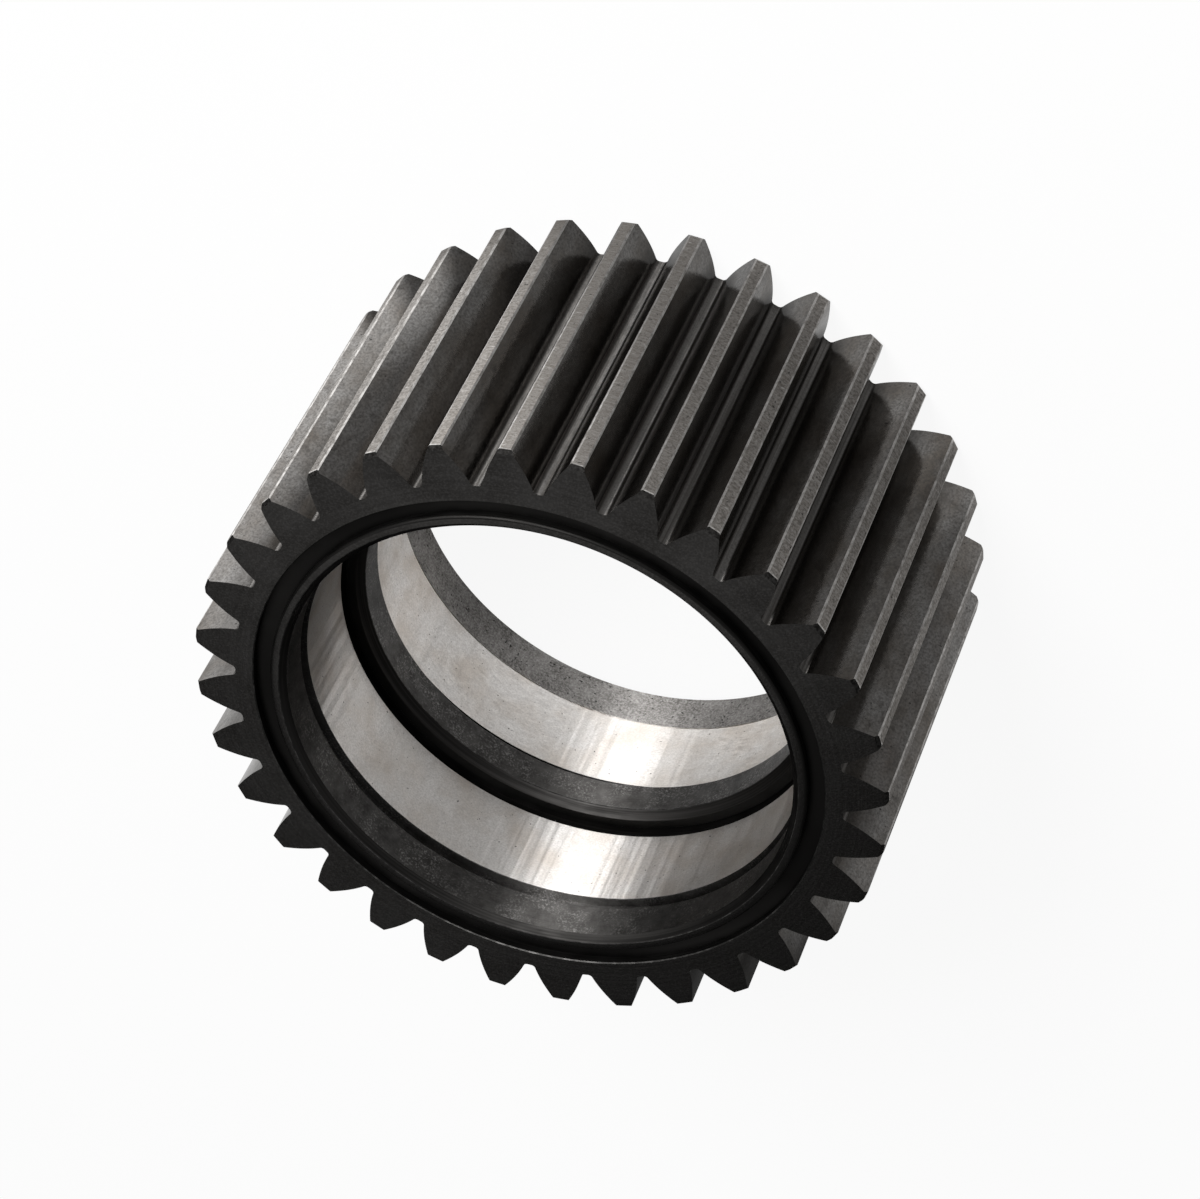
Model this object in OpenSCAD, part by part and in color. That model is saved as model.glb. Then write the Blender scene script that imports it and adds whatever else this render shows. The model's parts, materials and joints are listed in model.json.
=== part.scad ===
// Planet gear with a stepped bore for two rolling bearings.
// It stands on its back face with its axis along Z, and the front face with the snap-ring groove is up.
// Lengths are in millimetres and angles in degrees.

/* [Teeth] */
// Number of teeth
tooth_count = 32; // [31:1:72]
// Module, the pitch diameter that one tooth takes
gear_module = 6; // [6:0.5:10]
// Pressure angle of the flanks
pressure_angle = 25; // [20:0.5:27]
// Profile shift, in modules
profile_shift = 0.36; // [0.2:0.01:0.6]
// Height cut off the full tooth depth at the tips
tip_shortening = 0.66; // [0:0.02:2]
// Clearance below the working depth of the teeth
root_clearance = 1.5; // [1:0.1:2]
// Radius of the fillets at the foot of the teeth
root_fillet = 1.3; // [0.4:0.1:1.8]
// Length of the teeth along the axis
face_width = 112; // [100:1:150]
// Chamfer on the tooth ends, along the axis
tip_chamfer_height = 1.4; // [0.5:0.1:4]
// Chamfer on the tooth ends, along the radius
tip_chamfer_depth = 1.05; // [0.3:0.05:3]

/* [Bearing seats] */
// Diameter of the two ground seats, the outside diameter of the bearings
seat_dia = 150; // [120:1:156]
// Length of each ground seat
seat_width = 28; // [18:0.5:36]
// Width of the grinding relief between a seat and the rib
relief_width = 3.6; // [1.5:0.1:5]
// Depth of the grinding relief below the seat
relief_depth = 2.5; // [0.5:0.1:3.5]
// Reach of the grinding relief behind the shoulder
relief_reach = 1; // [0.4:0.1:2]
// Width of the rib between the two bearings
rib_width = 15.2; // [12:0.2:28]
// Height of the shoulder that the bearings rest on
shoulder_height = 5.5; // [4:0.1:12]
// Chamfer on both edges of the rib
rib_chamfer = 2.4; // [0.5:0.1:3]

/* [Bore ends] */
// Step by which the turned ends are wider than the seats
end_step = 0.6; // [0.3:0.1:1.2]
// Chamfer at both mouths of the bore
mouth_chamfer = 1.9; // [0.5:0.1:3.5]
// Width of the snap-ring groove at the front
snap_groove_width = 3.4; // [2:0.1:4.5]
// Depth of the snap-ring groove below the seat
snap_groove_depth = 3; // [1.5:0.1:4]
// Width of the run-out line at the outer end of the back seat
run_out_width = 1.2; // [0.5:0.1:2]
// Depth of the run-out line below the turned end
run_out_depth = 0.3; // [0.1:0.1:1]

/* [Front face] */
// Width of the lip between the bore and the face groove
lip_width = 2.6; // [1.5:0.1:3.5]
// Width of the ring groove in the front face
face_groove_width = 5.1; // [2:0.1:6]
// Depth of the ring groove in the front face
face_groove_depth = 3; // [1:0.1:5]
// Size of the broken edges beside the face groove
edge_break = 0.3; // [0.1:0.05:0.6]

/* [Hidden] */

// Smoothness of the turned surfaces and of the tooth profile
turned_sides = 180;
fillet_steps = 4;
flank_steps = 8;
// Reach of a cut past the solid that it is cut from
overcut = 1;

// Teeth, from the usual relations of an involute gear
pitch_r = gear_module * tooth_count / 2;
base_r = pitch_r * cos(pressure_angle);
tip_r = pitch_r + gear_module * (1 + profile_shift) - tip_shortening;
root_r = pitch_r - gear_module * (1 - profile_shift) - root_clearance;
tooth_pitch = 360 / tooth_count;
pitch_thickness = gear_module * (PI / 2 + 2 * profile_shift * tan(pressure_angle));
// Half angle of a tooth on the base circle
base_half_angle = degrees_of(pitch_thickness / 2, pitch_r) + involute(pressure_angle);
// Distances along the line of action from the base circle: fillet centre, foot and end of the flank
fillet_centre_u = tangent_length(root_r + root_fillet);
foot_u = fillet_centre_u - root_fillet;
end_u = tangent_length(tip_r + overcut);

// Bore, as radii and as heights above the face at either end
seat_r = seat_dia / 2;
rib_r = seat_r - shoulder_height;
end_r = seat_r + end_step;
mouth_r = end_r + mouth_chamfer;
lip_r = mouth_r + lip_width;
face_groove_r = lip_r + face_groove_width;
shoulder_z = (face_width - rib_width) / 2;
seat_end_z = shoulder_z - relief_width;
seat_start_z = seat_end_z - seat_width;

// Angle in degrees of an arc with this length and radius
function degrees_of(length, r) = length / r * 180 / PI;

// Involute function of an angle in degrees
function involute(a) = tan(a) * 180 / PI - a;

// Length of the tangent from the base circle to the radius r
function tangent_length(r) = sqrt(r * r - base_r * base_r);

// A point as [radius, angle] and as [x, y]
function polar(p) = [norm(p), atan2(p[1], p[0])];
function xy(r, a) = [r * cos(a), r * sin(a)];

// Point of the flank at the distance u along the line of action, as [radius, angle]
function flank_point(u) = [norm([base_r, u]), base_half_angle - involute(atan(u / base_r))];

// Centre of the fillet, which lies on the involute that runs parallel to the flank
fillet_centre = [
    root_r + root_fillet,
    base_half_angle - involute(atan(fillet_centre_u / base_r)) + degrees_of(root_fillet, base_r)
];

// Directions from the fillet's centre to where it meets the root circle and the flank
fillet_start = fillet_centre[1] + 180;
fillet_end = base_half_angle - degrees_of(foot_u, base_r) + 270;

// Point of the fillet from the root circle (t = 0) to the flank (t = 1), as [radius, angle]
function fillet_point(t) =
    let (direction = fillet_start + t * (fillet_end - fillet_start))
    polar(xy(fillet_centre[0], fillet_centre[1]) + xy(root_fillet, direction));

// Left side of one tooth from the root circle to past the tip
tooth_side = concat(
    [for (i = [0 : fillet_steps]) fillet_point(i / fillet_steps)],
    [for (i = [1 : flank_steps]) flank_point(foot_u + i / flank_steps * (end_u - foot_u))]
);
side_last = len(tooth_side) - 1;

// One whole tooth about the angle 0, from right to left
tooth = concat(
    [for (p = tooth_side) [p[0], -p[1]]],
    [for (i = [side_last : -1 : 0]) tooth_side[i]]
);

// Involute teeth of the full length, with their tips still too long
module toothed_bar() {
    linear_extrude(height = face_width)
        polygon([
            for (i = [0 : tooth_count - 1], p = tooth)
                xy(p[0], p[1] + i * tooth_pitch)
        ]);
}

// Places a cut of the section, drawn at the back end, at the front end
module at_front() {
    translate([0, face_width]) mirror([0, 1]) children();
}

module at_both_ends() {
    children();
    at_front() children();
}

// Rectangle of the section, between two radii and two heights above the end face
module cut(r1, r2, z1, z2) {
    translate([r1, z1]) square([r2 - r1, z2 - z1]);
}

// Triangle that takes the edge at r off the end face; side is 1 for the edge of a hole, -1 for an outer edge
module edge_cut(r, side, depth, height) {
    slope = height / depth;
    polygon([
        [r - side * overcut, -overcut * slope],
        [r + side * (depth + overcut), -overcut * slope],
        [r - side * overcut, height + overcut * slope]
    ]);
}

// Stepped bore of one end: turned end, ground seat, grinding relief and rib chamfer
module end_bore() {
    cut(0, end_r, -overcut, seat_start_z);
    cut(0, seat_r, seat_start_z - overcut, shoulder_z);
    cut(seat_r - overcut, seat_r + relief_depth, seat_end_z, shoulder_z);
    cut(seat_r, seat_r + relief_depth, seat_end_z, shoulder_z + relief_reach);
    edge_cut(end_r, 1, mouth_chamfer, mouth_chamfer);
    translate([0, shoulder_z]) edge_cut(rib_r, 1, rib_chamfer, rib_chamfer);
}

// Groove of the radius r outside a seat, reaching up to where the seat begins
module seat_groove(width, r) {
    cut(seat_r - overcut, r, seat_start_z - width, seat_start_z);
}

// Ring groove in the end face, with broken edges
module face_groove() {
    cut(lip_r, face_groove_r, -overcut, face_groove_depth);
    edge_cut(face_groove_r, 1, edge_break, edge_break);
    edge_cut(lip_r, -1, edge_break, edge_break);
}

// Half section of the turned and bored blank
module blank_section() {
    difference() {
        cut(rib_r, tip_r, 0, face_width);
        at_both_ends() end_bore();
        at_both_ends() edge_cut(tip_r, -1, tip_chamfer_depth, tip_chamfer_height);
        seat_groove(run_out_width, end_r + run_out_depth);
        at_front() seat_groove(snap_groove_width, seat_r + snap_groove_depth);
        at_front() face_groove();
    }
}

// Gear in one piece: the turned blank where the toothed bar fills it
module planet_gear() {
    color([0.55, 0.54, 0.52])
        intersection() {
            toothed_bar();
            rotate_extrude($fn = turned_sides) blank_section();
        }
}

planet_gear();
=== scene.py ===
"""Planet gear: the look of the turned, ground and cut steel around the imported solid.

The gear stands on its back face with its axis along Z.
Lengths are in metres unless a name says otherwise.
"""

import json
import math

import bpy
from mathutils import Matrix, Vector


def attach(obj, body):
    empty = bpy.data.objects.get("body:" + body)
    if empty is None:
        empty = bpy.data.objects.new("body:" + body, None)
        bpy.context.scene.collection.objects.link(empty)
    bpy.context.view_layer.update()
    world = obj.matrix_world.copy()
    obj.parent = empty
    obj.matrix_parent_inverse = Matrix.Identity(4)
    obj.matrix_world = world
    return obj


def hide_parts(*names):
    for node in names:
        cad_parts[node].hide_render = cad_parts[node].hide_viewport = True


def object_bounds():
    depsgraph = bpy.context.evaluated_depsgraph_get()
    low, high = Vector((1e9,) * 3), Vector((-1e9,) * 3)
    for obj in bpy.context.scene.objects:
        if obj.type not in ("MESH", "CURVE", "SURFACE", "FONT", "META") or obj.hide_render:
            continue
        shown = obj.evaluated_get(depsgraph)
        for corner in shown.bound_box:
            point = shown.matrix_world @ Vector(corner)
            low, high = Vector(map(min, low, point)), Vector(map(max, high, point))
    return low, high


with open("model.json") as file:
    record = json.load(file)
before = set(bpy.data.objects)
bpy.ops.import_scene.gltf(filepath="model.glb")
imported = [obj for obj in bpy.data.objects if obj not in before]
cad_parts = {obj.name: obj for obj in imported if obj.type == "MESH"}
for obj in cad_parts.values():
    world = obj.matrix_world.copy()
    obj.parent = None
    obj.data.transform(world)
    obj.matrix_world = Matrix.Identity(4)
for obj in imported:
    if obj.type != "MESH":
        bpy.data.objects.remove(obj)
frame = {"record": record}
cad_low, cad_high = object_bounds()

MM = 0.001

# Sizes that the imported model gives
face_width = cad_high.z
tip_r = cad_high.x
mounts = {mount["name"]: mount for mount in frame["record"]["mounts"]}
seat_r = mounts["seat_back"]["dims"]["r_mm"] * MM
seat_width = mounts["seat_back"]["dims"]["length_mm"] * MM
seat_start = mounts["seat_back"]["pos_m"][2] - seat_width / 2
tooth_count = mounts["teeth"]["dims"]["count"]
pitch_r = mounts["teeth"]["dims"]["pcd_mm"] * MM / 2

# Sizes of the source that the record doesn't hold
pressure_angle = math.radians(25)
profile_shift = 0.36
root_clearance = 1.5 * MM
root_fillet = 1.3 * MM
tip_chamfer_height = 1.4 * MM
tip_chamfer_depth = 1.05 * MM
relief_width = 3.6 * MM
relief_depth = 2.5 * MM
relief_reach = 1.0 * MM
rib_height = 5.5 * MM
rib_chamfer = 2.4 * MM
end_step = 0.6 * MM
mouth_chamfer = 1.9 * MM
snap_groove_width = 3.4 * MM
snap_groove_depth = 3.0 * MM
run_out_width = 1.2 * MM
run_out_depth = 0.3 * MM
lip_width = 2.6 * MM
face_groove_width = 5.1 * MM
face_groove_depth = 3.0 * MM
edge_break = 0.3 * MM

# Deburred and rounded edges, too small for the solid
lip_round = 0.8 * MM
fine_break = 0.15 * MM
tip_break = 0.35 * MM
tip_end_break = 0.12 * MM

# Radii of the bore
rib_r = seat_r - rib_height
end_r = seat_r + end_step
mouth_r = end_r + mouth_chamfer
lip_r = mouth_r + lip_width
face_groove_r = lip_r + face_groove_width
relief_r = seat_r + relief_depth
snap_groove_r = seat_r + snap_groove_depth
run_out_r = end_r + run_out_depth

# Turn of the gloss from along the tool marks to across them
QUARTER_TURN = 0.25
# Way along the rings of a turned face over which they change
RING_CHANGE = 80 * MM
# Radii over which the painted shade on the flanks fades out, from their darker feet between the
# teeth to their lighter outer part
FLANK_SHADE_FADE = (pitch_r - 1 * MM, pitch_r + 3.5 * MM)

# Fineness of the mesh
fillet_steps = 8
flank_steps = 12
tip_flank_steps = 2
land_steps = 6
bore_steps = 384
round_steps = 6


# The tooth outline, from the same relations as the source

module = 2 * pitch_r / tooth_count
base_r = pitch_r * math.cos(pressure_angle)
root_r = pitch_r - module * (1 - profile_shift) - root_clearance
tooth_pitch = 2 * math.pi / tooth_count


def involute(angle):
    return math.tan(angle) - angle


pitch_thickness = module * (math.pi / 2 + 2 * profile_shift * math.tan(pressure_angle))
base_half_angle = pitch_thickness / 2 / pitch_r + involute(pressure_angle)


def half_angle(r):
    """Angle between a tooth's middle and its flank at the radius r."""
    return base_half_angle - involute(math.acos(base_r / r))


def tooth_foot():
    """Fillet from the root circle up to the flank, as (radius, angle) on a tooth's left side."""
    centre_r = root_r + root_fillet
    centre_u = math.sqrt(centre_r**2 - base_r**2)
    centre_angle = half_angle(centre_r) + root_fillet / base_r
    start = centre_angle + math.pi
    end = base_half_angle - (centre_u - root_fillet) / base_r + 1.5 * math.pi
    points = []
    for i in range(fillet_steps + 1):
        turn = start + i / fillet_steps * (end - start)
        x = centre_r * math.cos(centre_angle) + root_fillet * math.cos(turn)
        y = centre_r * math.sin(centre_angle) + root_fillet * math.sin(turn)
        points.append((math.hypot(x, y), math.atan2(y, x)))
    return points


def flank(r1, r2, steps):
    """Points of a left flank after r1 and up to r2."""
    radii = [r1 + i / steps * (r2 - r1) for i in range(1, steps + 1)]
    return [(r, half_angle(r)) for r in radii]


class Skin:
    """Vertices and faces of a mesh, each face with its material's name."""

    def __init__(self):
        self.points = []
        self.faces = []
        self.zones = []

    def add(self, r, angle, z):
        self.points.append((r * math.cos(angle), r * math.sin(angle), z))
        return len(self.points) - 1

    def face(self, corners, zone):
        self.faces.append(corners)
        self.zones.append(zone)

    def strip(self, lower, upper, zone, closed=False):
        """Quads between two rows of as many vertices, the upper one to the left of the lower."""
        last = len(lower) if closed else len(lower) - 1
        for i in range(last):
            j = (i + 1) % len(lower)
            self.face((lower[i], lower[j], upper[j], upper[i]), zone)

    def angle(self, index):
        return math.atan2(self.points[index][1], self.points[index][0])

    def zip_rings(self, inner, outer, zone, flip):
        """Triangles between two rings of any numbers of vertices, both in order of angle."""
        def unrolled(ring):
            angles = [self.angle(i) for i in ring]
            for i in range(1, len(angles)):
                while angles[i] < angles[i - 1] - math.pi:
                    angles[i] += 2 * math.pi
            return angles + [angles[0] + 2 * math.pi]

        inner_angles = unrolled(inner)
        outer_angles = unrolled(outer)
        i = j = 0
        while i < len(inner) or j < len(outer):
            next_inner = inner_angles[i + 1] if i < len(inner) else math.inf
            next_outer = outer_angles[j + 1] if j < len(outer) else math.inf
            a = inner[i % len(inner)]
            b = outer[j % len(outer)]
            if next_outer <= next_inner:
                j += 1
                corners = (a, b, outer[j % len(outer)])
            else:
                i += 1
                corners = (a, b, inner[i % len(inner)])
            self.face(corners[::-1] if flip else corners, zone)


skin = Skin()

foot = tooth_foot()
flank_foot_r = foot[-1][0]
chamfer_r = tip_r - tip_chamfer_depth
corner_r = tip_r - tip_break
lower_flank = flank(flank_foot_r, chamfer_r, flank_steps)
upper_flank = flank(chamfer_r, corner_r, tip_flank_steps)
land_half = half_angle(tip_r) - tip_break / tip_r
# Last row of the chamfer, on the broken edge between the flank's end and the land
shoulder_share = 1 - tip_end_break / tip_break
tip_shoulder = (
    tip_r - tip_end_break,
    half_angle(corner_r) + shoulder_share * (land_half - half_angle(corner_r)),
)


def end_height(r, front):
    """Height of the gear's end at the radius r, where the tooth tips are chamfered."""
    drop = max(0.0, r - chamfer_r) / tip_chamfer_depth * tip_chamfer_height
    return face_width - drop if front else drop


def columns(half):
    """Angles across a tooth from right to left, evenly spaced."""
    return [half * (2 * k / land_steps - 1) for k in range(land_steps + 1)]


def tooth_end(middle, front):
    """One end of a tooth: its rows of vertices by name, and its part of the end face's outline."""
    side = foot + lower_flank
    right = [skin.add(r, middle - a, end_height(r, front)) for r, a in side]
    left = [skin.add(r, middle + a, end_height(r, front)) for r, a in side]
    arc = [
        skin.add(chamfer_r, middle + a, end_height(chamfer_r, front))
        for a in columns(half_angle(chamfer_r))[1:-1]
    ]
    rows = [[right[-1], *arc, left[-1]]]
    for r, half in [*upper_flank, tip_shoulder]:
        rows.append([skin.add(r, middle + a, end_height(r, front)) for a in columns(half)])
    land_end = end_height(tip_r, front) + (-2 if front else 2) * tip_end_break
    rows.append([skin.add(tip_r, middle + a, land_end) for a in columns(land_half)])
    for lower, upper in zip(rows, rows[1:]):
        zone = "tip_edge" if upper is rows[-1] else "tip_chamfer"
        if front:
            skin.strip(upper, lower, zone)
        else:
            skin.strip(lower, upper, zone)
    end = {
        "right": right + [row[0] for row in rows[1:]],
        "left": left + [row[-1] for row in rows[1:]],
        "land": rows[-1],
    }
    return end, [*right, *arc, *left[::-1]]


def build_teeth():
    """Flanks, roots, tip lands and tip chamfers. Returns the outlines of both end faces."""
    outline = {True: [], False: []}
    first_row = last_row = None
    foot_last = len(foot) - 1
    corner_first = len(foot) + len(lower_flank) + 1
    for i in range(tooth_count):
        back, back_outline = tooth_end(i * tooth_pitch, front=False)
        front, front_outline = tooth_end(i * tooth_pitch, front=True)
        outline[False] += back_outline
        outline[True] += front_outline
        for name, low, high in (("right", back, front), ("left", front, back)):
            a = low[name]
            b = high[name]
            skin.strip(a[:foot_last + 1], b[:foot_last + 1], "root")
            flank_rows = slice(foot_last, corner_first + 1)
            skin.strip(a[flank_rows], b[flank_rows], name + "_flank")
            skin.strip(a[corner_first:], b[corner_first:], "tip_edge")
        skin.strip(back["land"], front["land"], "tip_land")
        right_foot = (back["right"][0], front["right"][0])
        if i == 0:
            first_row = right_foot
        else:
            skin.strip([last_row[0], right_foot[0]], [last_row[1], right_foot[1]], "root")
        last_row = (back["left"][0], front["left"][0])
    skin.strip([last_row[0], first_row[0]], [last_row[1], first_row[1]], "root")
    return outline


def broken(corner, before, after, size):
    """The two ends of a small chamfer on a corner of the section."""
    def towards(point):
        gap = math.dist(corner, point)
        return tuple(c + (p - c) * size / gap for c, p in zip(corner, point))

    return towards(before), towards(after)


def bore_section():
    """Section from the front face down to the back face: (radius, height, zone up to there)."""
    top = face_width
    shoulder = seat_start + seat_width + relief_width
    groove_bottom = top - seat_start
    groove_top = groove_bottom + snap_groove_width
    # Each corner is (radius, height, zone of the surface that ends there, size of its edge break)
    corners = [
        (face_groove_r, top, None, edge_break),
        (face_groove_r, top - face_groove_depth, "groove_wall", 0),
        (lip_r, top - face_groove_depth, "groove_floor", 0),
        (lip_r, top, "groove_wall", lip_round),
        (mouth_r, top, "lip", fine_break),
        (end_r, top - mouth_chamfer, "mouth_chamfer", 0),
        (end_r, groove_top, "front_land", fine_break),
        (snap_groove_r, groove_top, "snap_groove", 0),
        (snap_groove_r, groove_bottom, "snap_groove", 0),
        (seat_r, groove_bottom, "snap_groove", fine_break),
        (seat_r, top - seat_start - seat_width, "front_seat", fine_break),
        (relief_r, top - seat_start - seat_width, "relief", 0),
        (relief_r, top - shoulder - relief_reach, "relief", 0),
        (seat_r, top - shoulder - relief_reach, "relief", 0),
        (seat_r, top - shoulder, "relief", fine_break),
        (rib_r + rib_chamfer, top - shoulder, "shoulder", 0),
        (rib_r, top - shoulder - rib_chamfer, "rib_chamfer", fine_break),
        (rib_r, shoulder + rib_chamfer, "rib", fine_break),
        (rib_r + rib_chamfer, shoulder, "rib_chamfer", 0),
        (seat_r, shoulder, "shoulder", fine_break),
        (seat_r, shoulder + relief_reach, "relief", 0),
        (relief_r, shoulder + relief_reach, "relief", 0),
        (relief_r, shoulder - relief_width, "relief", 0),
        (seat_r, shoulder - relief_width, "relief", fine_break),
        (seat_r, seat_start, "back_seat", fine_break),
        (run_out_r, seat_start, "run_out", 0),
        (run_out_r, seat_start - run_out_width, "run_out", 0),
        (end_r, seat_start - run_out_width, "run_out", 0),
        (end_r, mouth_chamfer, "back_land", 0),
        (mouth_r, 0, "mouth_chamfer", fine_break),
    ]
    outside = [(corners[0][0] + MM, top), (corners[-1][0] + MM, 0)]
    section = []
    for i, (r, z, zone, size) in enumerate(corners):
        if not size:
            section.append((r, z, zone))
            continue
        before = corners[i - 1][:2] if i else outside[0]
        after = corners[i + 1][:2] if i + 1 < len(corners) else outside[1]
        first, second = broken((r, z), before, after, size)
        section.append((*first, zone))
        if size == lip_round:
            # Quarter circle that bulges towards the corner
            for k in range(1, round_steps):
                turn = k / round_steps * math.pi / 2
                round_r = r - size * (1 - math.cos(turn))
                section.append((round_r, z - size * (1 - math.sin(turn)), zone))
            section.append((*second, zone))
        else:
            section.append((*second, "edge"))
    return section


def build_bore(outline):
    """Bore and face groove, and the end faces between them and the teeth."""
    section = bore_section()
    rings = [
        [skin.add(r, 2 * math.pi * k / bore_steps, z) for k in range(bore_steps)]
        for r, z, _ in section
    ]
    for k in range(1, len(rings)):
        skin.strip(rings[k - 1], rings[k], section[k][2], closed=True)
    skin.zip_rings(rings[0], outline[True], "front_face", flip=False)
    skin.zip_rings(rings[-1], outline[False], "back_face", flip=True)


build_bore(build_teeth())


class Nodes:
    """Short calls that add the nodes behind a material or the world."""

    def __init__(self, owner):
        owner.use_nodes = True
        self.tree = owner.node_tree

    def new(self, kind, **settings):
        node = self.tree.nodes.new("ShaderNode" + kind)
        for name, value in settings.items():
            setattr(node, name, value)
        return node

    def plug(self, socket, value):
        if isinstance(value, bpy.types.NodeSocket):
            self.tree.links.new(value, socket)
        else:
            socket.default_value = value

    def math(self, operation, a, b=0.0):
        node = self.new("Math", operation=operation)
        self.plug(node.inputs[0], a)
        self.plug(node.inputs[1], b)
        return node.outputs[0]

    def span(self, value, low, high, to_low=0.0, to_high=1.0):
        """A value taken from one range into another, and held at its ends."""
        node = self.new("MapRange")
        names = ("Value", "From Min", "From Max", "To Min", "To Max")
        for name, limit in zip(names, (value, low, high, to_low, to_high)):
            self.plug(node.inputs[name], limit)
        return node.outputs["Result"]

    def fade(self, share, start, end):
        """From start to end by this share."""
        return self.span(share, 0, 1, start, end)

    def split(self, vector):
        """X and Y of a vector."""
        parts = self.new("SeparateXYZ")
        self.plug(parts.inputs[0], vector)
        return parts.outputs[0], parts.outputs[1]

    def length(self, x, y):
        squares = self.math("MULTIPLY", x, x), self.math("MULTIPLY", y, y)
        return self.math("SQRT", self.math("ADD", *squares))

    def reach(self, x, y, azimuth):
        """How far x and y lie towards this azimuth in degrees."""
        turn = math.radians(azimuth)
        parts = self.math("MULTIPLY", x, math.cos(turn)), self.math("MULTIPLY", y, math.sin(turn))
        return self.math("ADD", *parts)

    def rays(self):
        """Whether a ray comes from the camera, and whether it comes from metal or glass."""
        path = self.new("LightPath").outputs
        metal = self.math("ADD", path["Is Glossy Ray"], path["Is Transmission Ray"])
        return path["Is Camera Ray"], metal


class Steel(Nodes):
    """One finish of the steel: a metal shader with its patterns."""

    def __init__(self, name, anisotropy=0.0):
        self.material = bpy.data.materials.new(name)
        super().__init__(self.material)
        self.shader = self.tree.nodes["Principled BSDF"]
        self.shader.inputs["Metallic"].default_value = 1
        self.place = self.new("TexCoord").outputs["Object"]
        if anisotropy:
            # The tool marks run round the axis, so the gloss spreads across them
            around = self.new("Tangent", direction_type="RADIAL", axis="Z")
            self.shader.inputs["Anisotropic"].default_value = anisotropy
            self.shader.inputs["Anisotropic Rotation"].default_value = QUARTER_TURN
            self.plug(self.shader.inputs["Tangent"], around.outputs["Tangent"])

    def dull(self, edge_tint):
        """Keeps a dark finish dark where it is seen at a low angle."""
        self.shader.inputs["Specular Tint"].default_value = (edge_tint, edge_tint, edge_tint, 1)

    def noise(self, where, detail, rough):
        node = self.new("TexNoise")
        self.plug(node.inputs["Vector"], where)
        node.inputs["Scale"].default_value = 1
        node.inputs["Detail"].default_value = detail
        node.inputs["Roughness"].default_value = rough
        return node.outputs["Fac"]

    def grain(self, across, along=None, detail=3.0, rough=0.5, seed=0.0):
        """Noise with specks this wide across the axis and this long along it."""
        stretch = self.new("Mapping")
        self.plug(stretch.inputs["Vector"], self.place)
        stretch.inputs["Location"].default_value = (seed, seed + 3, seed + 7)
        stretch.inputs["Scale"].default_value = (1 / across, 1 / across, 1 / (along or across))
        return self.noise(stretch.outputs["Vector"], detail, rough)

    def rings(self, width, seed=0.0):
        """Noise in rings about the axis, as a facing tool leaves them."""
        x, y = self.split(self.place)
        where = self.new("CombineXYZ")
        self.plug(where.inputs[0], self.math("DIVIDE", self.length(x, y), width))
        self.plug(where.inputs[1], self.math("DIVIDE", x, RING_CHANGE))
        self.plug(where.inputs[2], self.math("ADD", self.math("DIVIDE", y, RING_CHANGE), seed))
        return self.noise(where.outputs[0], 2, 0.5)

    def mix(self, share, a, b):
        """Colour b over colour a."""
        node = self.new("Mix", data_type="RGBA")
        for socket, value in (("Factor_Float", share), ("A_Color", a), ("B_Color", b)):
            self.plug(next(s for s in node.inputs if s.identifier == socket), value)
        return next(s for s in node.outputs if s.identifier == "Result_Color")

    def bump(self, height, depth, under=None):
        """Relief of this depth in metres over the relief under it."""
        node = self.new("Bump")
        node.inputs["Distance"].default_value = depth
        self.plug(node.inputs["Height"], height)
        if under:
            self.plug(node.inputs["Normal"], under)
        return node.outputs["Normal"]

    def finish(self, colour, roughness, normal):
        self.plug(self.shader.inputs["Base Color"], colour)
        self.plug(self.shader.inputs["Roughness"], roughness)
        self.plug(self.shader.inputs["Normal"], normal)
        return self.material


def tint(level, warmth=0.04):
    """A grey of this level, warmer towards brown with more warmth."""
    return (level * (1 + warmth), level, level * (1 - warmth), 1)


def ground_seat():
    """Bearing seats and run-out line: ground bright, with brownish stains and soft waves."""
    s = Steel("ground_seat", anisotropy=1.0)
    s.dull(0.3)
    stain = s.span(s.grain(15 * MM, detail=5, rough=0.6, seed=2), 0.42, 0.68)
    colour = s.mix(stain, tint(0.64, 0.03), tint(0.5, 0.09))
    speck = s.span(s.grain(0.6 * MM, 0.5 * MM, detail=2, rough=0.6, seed=5), 0.35, 0.68)
    colour = s.mix(s.math("MULTIPLY", speck, 0.5), colour, tint(0.34, 0.06))
    dots = s.span(s.grain(1.0 * MM, detail=1, seed=11), 0.74, 0.78, 0, 0.85)
    colour = s.mix(dots, colour, tint(0.05))
    roughness = s.span(s.grain(3 * MM, 0.5 * MM, seed=8), 0.3, 0.7, 0.38, 0.48)
    waves = s.bump(s.grain(9 * MM, 400 * MM, detail=3, seed=1), 0.45 * MM)
    lines = s.bump(s.grain(25 * MM, 0.3 * MM, detail=2, seed=4), 0.006 * MM, waves)
    return s.finish(colour, roughness, lines)


def bored_land():
    """Turned back end of the bore: grey, mottled, with dark pits."""
    s = Steel("bored_land", anisotropy=1.0)
    mottle = s.span(s.grain(6 * MM, detail=5, rough=0.65, seed=3), 0.35, 0.65)
    colour = s.mix(mottle, tint(0.11, 0.06), tint(0.22, 0.04))
    speck = s.span(s.grain(0.7 * MM, detail=3, rough=0.7, seed=6), 0.42, 0.62)
    colour = s.mix(s.math("MULTIPLY", speck, 0.6), colour, tint(0.36, 0.03))
    pits = s.span(s.grain(1.3 * MM, detail=2, seed=9), 0.64, 0.7, 0, 0.9)
    colour = s.mix(pits, colour, tint(0.02))
    roughness = s.fade(speck, 0.62, 0.5)
    lines = s.bump(s.grain(30 * MM, 0.5 * MM, detail=2, seed=4), 0.02 * MM)
    grit = s.bump(s.grain(0.7 * MM, detail=2, seed=12), 0.03 * MM, lines)
    return s.finish(colour, roughness, grit)


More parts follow.
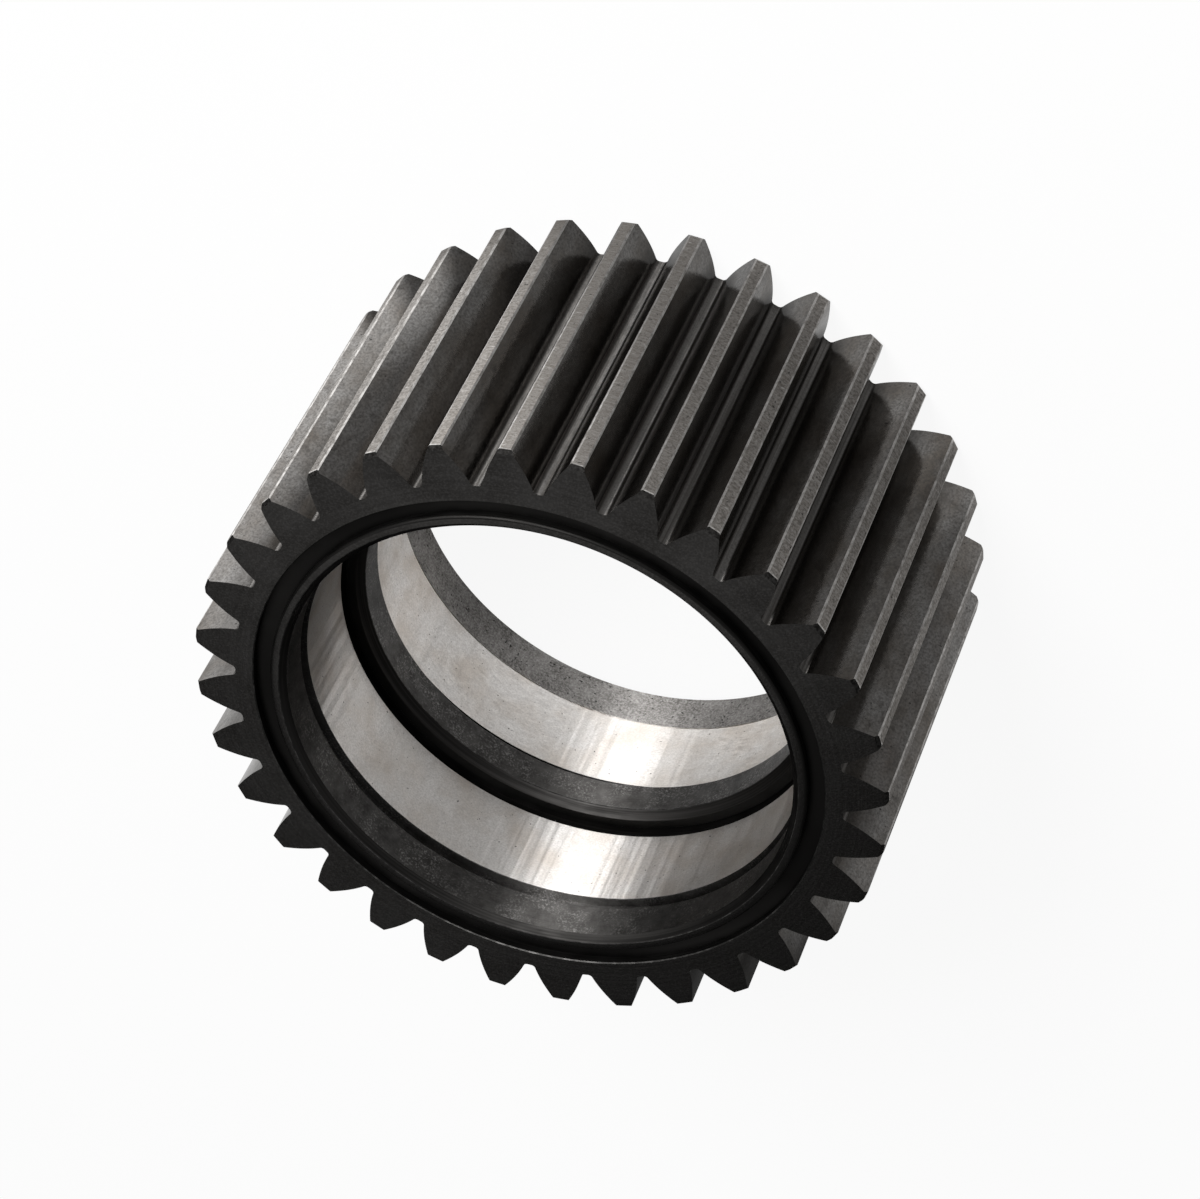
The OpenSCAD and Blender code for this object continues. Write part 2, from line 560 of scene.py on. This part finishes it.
def dark_land():
    """Rib, snap-ring groove and front end of the bore: dark, mottled and rubbed in specks."""
    s = Steel("dark_land", anisotropy=1.0)
    mottle = s.span(s.grain(5 * MM, detail=5, rough=0.65, seed=13), 0.35, 0.65)
    colour = s.mix(mottle, tint(0.034, 0.05), tint(0.07, 0.04))
    lines = s.grain(40 * MM, 0.45 * MM, detail=2, seed=14)
    colour = s.mix(s.span(lines, 0.5, 0.7, 0, 0.4), colour, tint(0.07, 0.02))
    speck = s.span(s.grain(0.7 * MM, detail=3, rough=0.7, seed=16), 0.5, 0.66)
    rubbed = s.span(s.grain(9 * MM, detail=4, seed=18), 0.42, 0.62, 0.03, 0.45)
    colour = s.mix(s.math("MULTIPLY", speck, rubbed), colour, tint(0.3, 0.03))
    roughness = s.fade(speck, 0.5, 0.4)
    grit = s.bump(s.grain(0.7 * MM, detail=2, seed=19), 0.03 * MM, s.bump(lines, 0.02 * MM))
    return s.finish(colour, roughness, grit)


def turned_face():
    """End faces and lip: dark, with fine rings and smudges; the darkness is painted shade."""
    s = Steel("turned_face", anisotropy=0.3)
    s.dull(0.4)
    smudge = s.span(s.grain(18 * MM, detail=5, rough=0.6, seed=1), 0.35, 0.75)
    # Painted shade: near-black tints darken the end faces and lip as shade would
    colour = s.mix(smudge, tint(0.024, 0.05), tint(0.04, 0.03))
    rings = s.rings(0.9 * MM)
    colour = s.mix(s.span(rings, 0.4, 0.7, 0, 0.25), colour, tint(0.06, 0.03))
    speck = s.span(s.grain(0.6 * MM, detail=2, seed=5), 0.45, 0.72, 0, 0.35)
    colour = s.mix(speck, colour, tint(0.085, 0.03))
    roughness = s.fade(smudge, 0.24, 0.18)
    normal = s.bump(s.grain(0.6 * MM, detail=2, seed=9), 0.015 * MM, s.bump(rings, 0.012 * MM))
    return s.finish(colour, roughness, normal)


def turned_groove():
    """Face groove, reliefs, shoulders and the bore's chamfers: nearly black, partly the steel's
    own dark tone and partly painted shade in these recesses and on the chamfers, with tool marks.
    """
    s = Steel("turned_groove", anisotropy=0.3)
    s.dull(0.1)
    lines = s.grain(60 * MM, 0.35 * MM, detail=2, seed=2)
    # Partly painted shade: these near-black tints darken the recesses and chamfers as shade would
    colour = s.mix(s.span(lines, 0.35, 0.65), tint(0.014), tint(0.028))
    roughness = s.span(s.grain(8 * MM, 1 * MM, seed=7), 0.3, 0.7, 0.42, 0.56)
    return s.finish(colour, roughness, s.bump(lines, 0.02 * MM))


def tip_chamfer():
    """Turned chamfers on the tips' ends: dark and dull, with light spots."""
    s = Steel("tip_chamfer")
    s.dull(0.3)
    speck = s.span(s.grain(0.8 * MM, detail=3, rough=0.7, seed=41), 0.4, 0.68)
    colour = s.mix(speck, tint(0.011, 0.05), tint(0.045, 0.04))
    return s.finish(colour, 0.72, s.bump(s.grain(0.7 * MM, detail=2, seed=43), 0.03 * MM))


def tooth_flank():
    """Flanks: smooth, grainy, with soft brown stains, and painted shade that darkens them towards
    the foot.
    """
    s = Steel("tooth_flank")
    stain = s.span(s.grain(12 * MM, 22 * MM, detail=5, rough=0.62, seed=3), 0.4, 0.66)
    colour = s.mix(stain, tint(0.36, 0.03), tint(0.2, 0.12))
    speck = s.span(s.grain(0.7 * MM, 0.9 * MM, detail=3, rough=0.65, seed=8), 0.38, 0.66)
    colour = s.mix(s.math("MULTIPLY", speck, 0.75), colour, tint(0.12, 0.06))
    blotch = s.span(s.grain(3.5 * MM, 5 * MM, detail=4, rough=0.6, seed=26), 0.58, 0.72, 0, 0.6)
    colour = s.mix(blotch, colour, tint(0.09, 0.08))
    # Painted shade: the flanks darken towards the foot, where the neighbouring teeth shade them
    painted_foot_shade = s.span(s.length(*s.split(s.place)), *FLANK_SHADE_FADE, 0.5, 0)
    colour = s.mix(painted_foot_shade, colour, tint(0.08, 0.06))
    dots = s.span(s.grain(1.1 * MM, detail=1, seed=21), 0.73, 0.78, 0, 0.85)
    colour = s.mix(dots, colour, tint(0.03))
    haze = s.grain(1.6 * MM, 2.2 * MM, detail=4, rough=0.7, seed=6)
    roughness = s.span(haze, 0.3, 0.7, 0.12, 0.22)
    normal = s.bump(s.grain(0.9 * MM, 1.3 * MM, detail=3, seed=14), 0.03 * MM)
    return s.finish(colour, roughness, normal)


def tooth_root():
    """Fillets and bottoms of the tooth spaces: feed marks and gloss along the axis."""
    s = Steel("tooth_root", anisotropy=0.95)
    marks = s.grain(0.7 * MM, 80 * MM, detail=3, seed=5)
    colour = s.mix(s.span(marks, 0.35, 0.65), tint(0.09, 0.07), tint(0.2, 0.04))
    speck = s.span(s.grain(0.7 * MM, detail=3, rough=0.65, seed=28), 0.45, 0.7, 0, 0.6)
    colour = s.mix(speck, colour, tint(0.07, 0.06))
    roughness = s.span(s.grain(1 * MM, 4 * MM, detail=3, seed=2), 0.3, 0.7, 0.34, 0.44)
    normal = s.bump(s.grain(0.7 * MM, detail=2, seed=3), 0.02 * MM, s.bump(marks, 0.015 * MM))
    return s.finish(colour, roughness, normal)


def tip_land():
    """Tips of the teeth: turned before cutting, brownish, grainy and scratched across."""
    s = Steel("tip_land", anisotropy=0.7)
    marks = s.grain(4 * MM, 0.4 * MM, detail=4, rough=0.7, seed=4)
    colour = s.mix(s.span(marks, 0.35, 0.65), tint(0.28, 0.1), tint(0.5, 0.05))
    speck = s.span(s.grain(0.9 * MM, 0.8 * MM, detail=3, rough=0.7, seed=9), 0.4, 0.62)
    colour = s.mix(s.math("MULTIPLY", speck, 0.75), colour, tint(0.13, 0.09))
    nicks = s.span(s.grain(3 * MM, 0.35 * MM, detail=2, seed=31), 0.66, 0.74, 0, 0.9)
    colour = s.mix(nicks, colour, tint(0.75, 0.03))
    dots = s.span(s.grain(1.1 * MM, detail=2, seed=17), 0.66, 0.72, 0, 0.85)
    colour = s.mix(dots, colour, tint(0.04))
    roughness = s.fade(speck, 0.36, 0.5)
    normal = s.bump(s.grain(0.7 * MM, detail=2, seed=19), 0.025 * MM, s.bump(marks, 0.02 * MM))
    return s.finish(colour, roughness, normal)


def tip_edge():
    """Broken edges of the tips: rubbed bright."""
    s = Steel("tip_edge")
    rubbed = s.span(s.grain(1.2 * MM, 3 * MM, detail=4, rough=0.7, seed=2), 0.35, 0.6)
    colour = s.mix(rubbed, tint(0.3, 0.06), tint(0.8, 0.03))
    roughness = s.fade(rubbed, 0.5, 0.38)
    return s.finish(colour, roughness, s.bump(s.grain(0.8 * MM, detail=3, seed=4), 0.04 * MM))


def turned_edge():
    """Broken edges of the bore and the face groove: dull, with a few light spots."""
    s = Steel("turned_edge")
    s.dull(0.4)
    rubbed = s.span(s.grain(3 * MM, detail=4, rough=0.65, seed=22), 0.45, 0.7)
    colour = s.mix(rubbed, tint(0.03, 0.03), tint(0.1, 0.03))
    return s.finish(colour, 0.5, s.bump(s.grain(0.6 * MM, detail=3, seed=24), 0.01 * MM))


FINISHES = {
    ground_seat: ("front_seat", "back_seat", "run_out"),
    bored_land: ("back_land",),
    dark_land: ("front_land", "snap_groove", "rib"),
    turned_face: ("front_face", "back_face", "lip"),
    turned_groove: (
        "groove_floor", "groove_wall", "relief", "shoulder", "mouth_chamfer", "rib_chamfer",
    ),
    tip_chamfer: ("tip_chamfer",),
    tooth_flank: ("left_flank", "right_flank"),
    tooth_root: ("root",),
    tip_land: ("tip_land",),
    tip_edge: ("tip_edge",),
    turned_edge: ("edge",),
}

mesh = bpy.data.meshes.new("planet_gear_steel")
mesh.from_pydata(skin.points, [], skin.faces)
slot_of = {}
for slot, (finish, zones) in enumerate(FINISHES.items()):
    mesh.materials.append(finish())
    slot_of.update(dict.fromkeys(zones, slot))
mesh.polygons.foreach_set("material_index", [slot_of[zone] for zone in skin.zones])
mesh.polygons.foreach_set("use_smooth", [True] * len(skin.faces))
mesh.update()
mesh.set_sharp_from_angle(angle=math.radians(20))
mesh.validate()
gear = bpy.data.objects.new("planet_gear_steel", mesh)
bpy.context.scene.collection.objects.link(gear)
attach(gear, "root")
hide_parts("planet_gear")


def direction(azimuth, elevation):
    """Unit vector towards an azimuth and elevation in radians."""
    level = math.cos(elevation)
    return Vector((math.cos(azimuth) * level, math.sin(azimuth) * level, math.sin(elevation)))


# Camera, where the photograph was taken from

IMAGE_WIDTH = 1200
FOCAL_LENGTH_PX = 4075.8
SENSOR_WIDTH = 36
CAMERA_PLACE = Vector((-0.3320, -0.75932, 0.91584))
VIEW_AZIMUTH = math.radians(66.308)
VIEW_DOWN = math.radians(46.332)
VIEW_ROLL = math.radians(-153.771)


def make_camera():
    data = bpy.data.cameras.new("camera")
    data.sensor_width = SENSOR_WIDTH
    data.lens = SENSOR_WIDTH * FOCAL_LENGTH_PX / IMAGE_WIDTH
    data.clip_start = 0.01
    data.clip_end = 50
    camera = bpy.data.objects.new("camera", data)
    bpy.context.scene.collection.objects.link(camera)
    level = direction(VIEW_AZIMUTH, -VIEW_DOWN).to_track_quat("-Z", "Y").to_matrix()
    roll = Matrix.Rotation(VIEW_ROLL, 3, "Z")
    camera.matrix_world = Matrix.Translation(CAMERA_PLACE) @ (level @ roll).to_4x4()
    bpy.context.scene.camera = camera


make_camera()


# Studio: a floor that glows in the steel with painted pools of light and painted shadow, a room
# that is dim behind the gear, and three lamps

FLOOR_SIZE = 6
# Share of the floor that the camera sees as plain white, without the shadow
CAMERA_WHITE = 0.92

# Sides of the floor: azimuth, and the cosines of the angle off it at the edge and in the middle
BRIGHT_SIDE = (-40, 0.77, 0.98)
FAR_SIDE = (15, 0.5, 0.87)
DARK_SIDE = (115, 0.4, 0.75)
LEFT_SIDE = (165, 0.86, 0.98)
FOOT_SIDE = (-155, 0.3, 0.9)
INNER_SIDE = (85, 0.77, 0.95)

# Rings of the floor in which its brightness changes: inner and outer radius
MIDDLE_RING = (20 * MM, 40 * MM)
INNER_RING = (28 * MM, 42 * MM)
RIM_RING = (52 * MM, 64 * MM)
BORE_RING = (seat_r, seat_r + 10 * MM)
UNDER_RING = (90 * MM, 96 * MM)
FOOT_RING = (103 * MM, 113 * MM)
AROUND_RING = (150 * MM, 200 * MM)
LEFT_RING = (190 * MM, 250 * MM)
AWAY_RING = (280 * MM, 400 * MM)

# Painted light and painted shadow that the steel sees on the floor, as emission strengths: inside
# the bore, under the teeth, and round the gear
FLOOR_MIDDLE = 1.05
FLOOR_INSIDE = 1.6
FLOOR_RIM = 0.7
FLOOR_INNER = 2.4
FLOOR_UNDER = 0.12
FLOOR_FOOT = 0.2
FLOOR_FOOT_BRIGHT = 0.5
FLOOR_AROUND = 0.22
FLOOR_BRIGHT = 1.2
FLOOR_FAR = 0.75
FLOOR_DARK = 0.06
FLOOR_LEFT = 0.42
FLOOR_AWAY = 0.6

# Brightness of the room as light, and in the steel by how far a direction points behind the gear
ROOM_LIGHT = 0.2
ROOM_MIRRORED = 0.35
ROOM_BEHIND = 0.1
BEHIND_AZIMUTH = 66
BEHIND_REACH = (0.1, 0.5)

LAMP_DISTANCE = 1.5


def painted_floor_reflection(n):
    """Painted reflection: the floor's glow as the steel mirrors it, by place, with painted pools
    of light and painted shadow.
    """
    x, y = n.split(n.new("TexCoord").outputs["Object"])
    radius = n.length(x, y)

    def side(azimuth, edge, middle):
        """Share of the light from one side of the floor."""
        return n.span(n.math("DIVIDE", n.reach(x, y, azimuth), radius), edge, middle)

    far = n.fade(side(*DARK_SIDE), FLOOR_AROUND, FLOOR_DARK)
    far = n.fade(side(*FAR_SIDE), far, FLOOR_FAR)
    around = n.span(radius, *AROUND_RING, FLOOR_AROUND, far)
    left = n.math("MULTIPLY", side(*LEFT_SIDE), n.span(radius, *LEFT_RING, 1, 0))
    around = n.fade(left, around, FLOOR_LEFT)
    around = n.fade(side(*BRIGHT_SIDE), around, FLOOR_BRIGHT)
    around = n.span(radius, *AWAY_RING, around, FLOOR_AWAY)
    # Painted pool of light on the floor near the foot of the teeth
    painted_foot_light = n.fade(side(*FOOT_SIDE), FLOOR_FOOT, FLOOR_FOOT_BRIGHT)
    around = n.span(radius, *FOOT_RING, painted_foot_light, around)
    # Painted shadow: the floor under the teeth is dark where the steel sees it
    around = n.span(radius, *UNDER_RING, FLOOR_UNDER, around)
    inside = n.span(radius, *MIDDLE_RING, FLOOR_MIDDLE, FLOOR_INSIDE)
    inside = n.span(radius, *RIM_RING, inside, FLOOR_RIM)
    inner = n.math("MULTIPLY", side(*INNER_SIDE), n.span(radius, *INNER_RING))
    inside = n.fade(inner, inside, FLOOR_INNER)
    return n.span(radius, *BORE_RING, inside, around)


def make_floor():
    """Floor that the camera sees white with a faint shadow, and that the steel sees glowing with
    painted pools of light and painted shadow.
    """
    bpy.ops.mesh.primitive_plane_add(size=FLOOR_SIZE, location=(0, 0, 0))
    floor = bpy.context.object
    floor.name = "floor"
    material = bpy.data.materials.new("floor")
    n = Nodes(material)
    pale = n.tree.nodes["Principled BSDF"]
    pale.inputs["Base Color"].default_value = (0.8, 0.8, 0.8, 1)
    pale.inputs["Roughness"].default_value = 1
    pale.inputs["Specular IOR Level"].default_value = 0
    from_camera, from_metal = n.rays()
    light = n.new("Emission")
    # Painted reflection: the steel sees the floor glowing with the painted light and shadow, the
    # camera sees it white
    n.plug(light.inputs["Strength"], n.fade(from_camera, painted_floor_reflection(n), 1))
    blend = n.new("MixShader")
    seen_white = n.math("MULTIPLY", from_camera, CAMERA_WHITE)
    n.plug(blend.inputs[0], n.math("ADD", from_metal, seen_white))
    n.plug(blend.inputs[1], pale.outputs[0])
    n.plug(blend.inputs[2], light.outputs[0])
    n.plug(n.tree.nodes["Material Output"].inputs["Surface"], blend.outputs[0])
    floor.data.materials.append(material)


def make_world():
    """Room: white where the camera sees it, dim in the steel, plain light for everything else."""
    world = bpy.data.worlds.new("studio")
    n = Nodes(world)
    room = n.tree.nodes["Background"]
    room.inputs["Color"].default_value = (1, 1, 1, 1)
    from_camera, from_metal = n.rays()
    # The end faces mirror the side behind the gear, which is the dimmest
    x, y = n.split(n.new("TexCoord").outputs["Generated"])
    mirrored = n.span(n.reach(x, y, BEHIND_AZIMUTH), *BEHIND_REACH, ROOM_MIRRORED, ROOM_BEHIND)
    level = n.fade(from_metal, ROOM_LIGHT, mirrored)
    n.plug(room.inputs["Strength"], n.math("MAXIMUM", level, from_camera))
    bpy.context.scene.world = world


def softbox(name, azimuth, elevation, size, power):
    """Area lamp that looks at the middle of the gear from this direction."""
    data = bpy.data.lights.new(name, "AREA")
    data.shape = "RECTANGLE"
    data.size, data.size_y = size
    data.energy = power
    lamp = bpy.data.objects.new(name, data)
    way = direction(math.radians(azimuth), math.radians(elevation))
    lamp.location = Vector((0, 0, face_width / 2)) + way * LAMP_DISTANCE
    lamp.rotation_euler = way.to_track_quat("Z", "Y").to_euler()
    lamp.visible_camera = False
    bpy.context.scene.collection.objects.link(lamp)


make_floor()
make_world()
softbox("key", azimuth=-73, elevation=42, size=(0.6, 0.7), power=24)
softbox("low", azimuth=-60, elevation=12, size=(0.7, 0.5), power=6)
softbox("fill", azimuth=35, elevation=61, size=(1.4, 0.9), power=2.7)

bpy.context.scene.view_settings.view_transform = "Standard"
